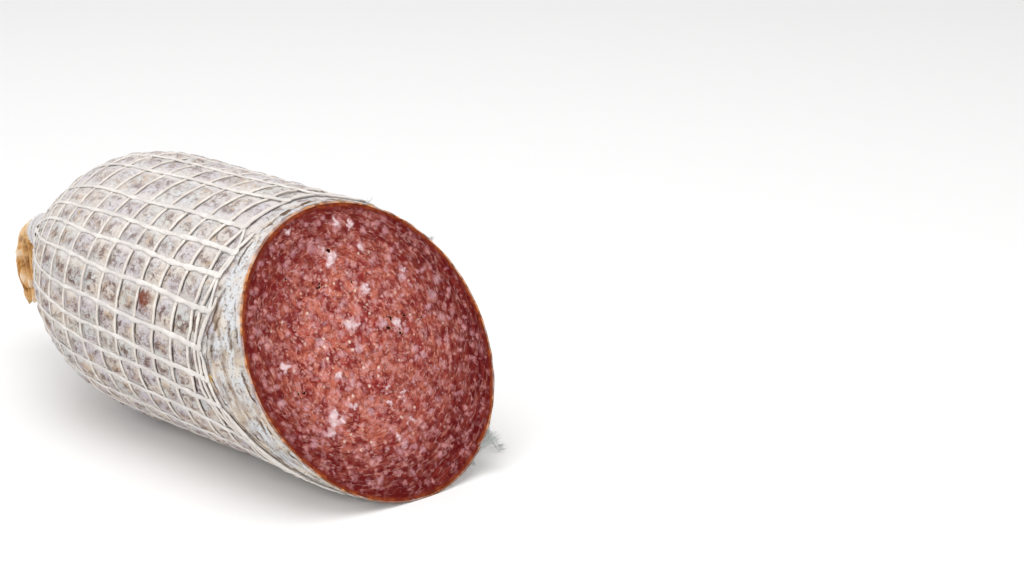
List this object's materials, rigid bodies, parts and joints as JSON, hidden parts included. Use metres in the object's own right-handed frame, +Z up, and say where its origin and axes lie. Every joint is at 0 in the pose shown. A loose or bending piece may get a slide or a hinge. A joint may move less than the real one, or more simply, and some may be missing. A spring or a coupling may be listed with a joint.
{
  "type": "hungarian salami half",
  "caption": "Half of a large dry-cured salami lying on its side, cut aslant, in a white cotton net gathered and tied at the other end.",
  "frame": {"origin": "middle of the footprint, on the surface the salami lies on", "axes": "+X along the salami from the tied end to the cut face, +Z up, -Y the near side that the picture shows"},
  "size_m": [0.2164, 0.0996, 0.0953],
  "materials": {
    "casing": "matt, white mould bloom over a thin brown casing, with dark red meat at the cut",
    "cotton_net": "matt, loosely spun white cotton",
    "string": "matt, twisted cream string",
    "dry_casing": "satin, translucent yellow parchment"
  },
  "bodies": {
    "root": {"salami": "casing", "netting": "cotton_net", "frayed_ends": "cotton_net", "tie_string": "string", "casing_tail": "dry_casing"}
  },
  "joints": []
}
